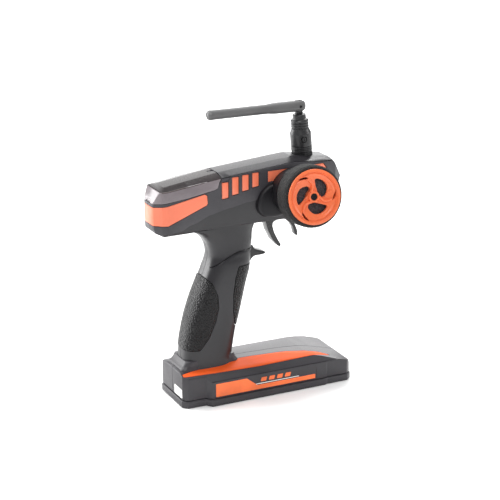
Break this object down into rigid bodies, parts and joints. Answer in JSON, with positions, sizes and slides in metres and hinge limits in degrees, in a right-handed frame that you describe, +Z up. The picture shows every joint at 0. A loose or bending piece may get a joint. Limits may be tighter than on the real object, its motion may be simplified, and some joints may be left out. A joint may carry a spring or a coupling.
{
  "type": "radio transmitter controller",
  "caption": "Pistol-grip radio control transmitter with a steering wheel, trigger, folding antenna, flip cover over trim controls and a battery base.",
  "frame": {"origin": "on the resting surface, under the middle of the battery base, in the middle plane of the body", "axes": "+X forward, away from the user; +Y to the user's left; +Z up; the steering wheel is on the -Y side"},
  "size_m": [0.1712, 0.0991, 0.2395],
  "materials": {
    "housing": "fine-grained charcoal moulding",
    "gloss_black": "semi-gloss black moulding",
    "smoked_cover": "smoked translucent moulding",
    "orange_trim": "satin orange moulding",
    "orange_rim": "satin orange moulding",
    "foam_tyre": "matt foam",
    "grip_rubber": "pebbled rubber",
    "black_control": "matt",
    "lens": "clear",
    "steel": "plated",
    "contact_steel": "nickel plated",
    "cell_wrap": "printed sleeve",
    "component_black": "matt",
    "board_green": "lacquered circuit board"
  },
  "bodies": {
    "case": {"housing_left": "housing", "housing_right": "housing", "base_tray": "housing", "top_cover": "gloss_black", "wheel_boss": "gloss_black", "antenna_base": "gloss_black", "control_panel": "gloss_black", "rear_trim": "orange_trim", "side_inlay_left": "orange_trim", "side_inlay_right": "orange_trim", "base_stripe": "orange_trim", "grip_pad_rear": "grip_rubber", "grip_pad_front": "grip_rubber", "light_pipe": "lens", "steering_spring": "steel", "trigger_spring": "steel", "case_screw_1": "steel", "case_screw_2": "steel", "case_screw_3": "steel", "case_screw_4": "steel", "case_screw_5": "steel", "contact_rear_right": "contact_steel", "contact_rear_bridge": "contact_steel", "contact_rear_left": "contact_steel", "contact_front_right": "contact_steel", "contact_front_left": "contact_steel", "battery_cell_1": "cell_wrap", "battery_cell_2": "cell_wrap", "battery_cell_3": "cell_wrap", "battery_cell_4": "cell_wrap", "battery_cell_5": "cell_wrap", "battery_cell_6": "cell_wrap", "battery_cell_7": "cell_wrap", "battery_cell_8": "cell_wrap", "charge_jack": "component_black", "steering_pot": "component_black", "throttle_pot": "component_black", "antenna_lead": "component_black", "main_board": "board_green", "radio_module": "board_green"},
    "steering_wheel": {"wheel_rim": "orange_rim", "wheel_tyre": "foam_tyre", "wheel_axle": "steel", "wheel_screw": "steel"},
    "trigger": {"trigger": "gloss_black", "trigger_shaft": "steel"},
    "antenna_swivel": {"antenna_knuckle": "gloss_black"},
    "antenna_arm": {"antenna_arm": "gloss_black", "antenna_pin": "steel"},
    "flip_cover": {"flip_cover": "smoked_cover", "cover_hinge_pin": "steel"},
    "steering_trim_knob": {"steering_trim_knob": "black_control"},
    "throttle_trim_knob": {"throttle_trim_knob": "black_control"},
    "dual_rate_knob": {"dual_rate_knob": "black_control"},
    "steering_reverse_switch": {"steering_reverse_switch": "black_control"},
    "throttle_reverse_switch": {"throttle_reverse_switch": "black_control"},
    "power_switch": {"power_switch": "black_control"},
    "bind_button": {"bind_button": "black_control"},
    "battery_door": {"battery_door": "housing"}
  },
  "joints": [
    {"name": "steering_turn", "type": "hinge", "parent": "case", "child": "steering_wheel", "pos_m": [0.0194, -0.065, 0.1774], "axis": [-0.0792, -0.9848, 0.1547], "range_deg": [-35, 35], "stiffness_Nm_per_rad": 0.05},
    {"name": "trigger_pull", "type": "hinge", "parent": "case", "child": "trigger", "pos_m": [0.0135, 0, 0.153], "axis": [0, 1, 0], "range_deg": [-12, 20], "stiffness_Nm_per_rad": 0.1},
    {"name": "antenna_turn", "type": "hinge", "parent": "case", "child": "antenna_swivel", "pos_m": [0.0419, 0, 0.1946], "axis": [-0.0941, 0, 0.9956], "range_deg": [-135, 135]},
    {"name": "antenna_fold", "type": "hinge", "parent": "antenna_swivel", "child": "antenna_arm", "pos_m": [0.0381, 0, 0.23482], "axis": [0, 1, 0], "range_deg": [0, 85]},
    {"name": "flip_cover_open", "type": "hinge", "parent": "case", "child": "flip_cover", "pos_m": [-0.041, 0, 0.18795], "axis": [0, 1, 0], "range_deg": [0, 88]},
    {"name": "steering_trim_turn", "type": "hinge", "parent": "case", "child": "steering_trim_knob", "pos_m": [-0.07635, 0.007, 0.17064], "axis": [-0.1564, 0, 0.9877], "range_deg": [-135, 135]},
    {"name": "throttle_trim_turn", "type": "hinge", "parent": "case", "child": "throttle_trim_knob", "pos_m": [-0.07635, -0.007, 0.17064], "axis": [-0.1564, 0, 0.9877], "range_deg": [-135, 135]},
    {"name": "dual_rate_turn", "type": "hinge", "parent": "case", "child": "dual_rate_knob", "pos_m": [-0.06499, 0.007, 0.17244], "axis": [-0.1564, 0, 0.9877], "range_deg": [-135, 135]},
    {"name": "steering_reverse_slide", "type": "slide", "parent": "case", "child": "steering_reverse_switch", "axis": [0, 1, 0], "range_m": [0, 0.0028]},
    {"name": "throttle_reverse_slide", "type": "slide", "parent": "case", "child": "throttle_reverse_switch", "axis": [0, 1, 0], "range_m": [0, 0.0028]},
    {"name": "power_slide", "type": "slide", "parent": "case", "child": "power_switch", "axis": [0.9877, 0, 0.1564], "range_m": [0, 0.0036]},
    {"name": "bind_press", "type": "slide", "parent": "case", "child": "bind_button", "axis": [0.1564, 0, -0.9877], "range_m": [0, 0.001], "stiffness_N_per_m": 300, "springref_m": -0.0005},
    {"name": "battery_door_open", "type": "hinge", "parent": "case", "child": "battery_door", "pos_m": [-0.0506, 0, 0.0005], "axis": [0, 1, 0], "range_deg": [0, 75]}
  ]
}
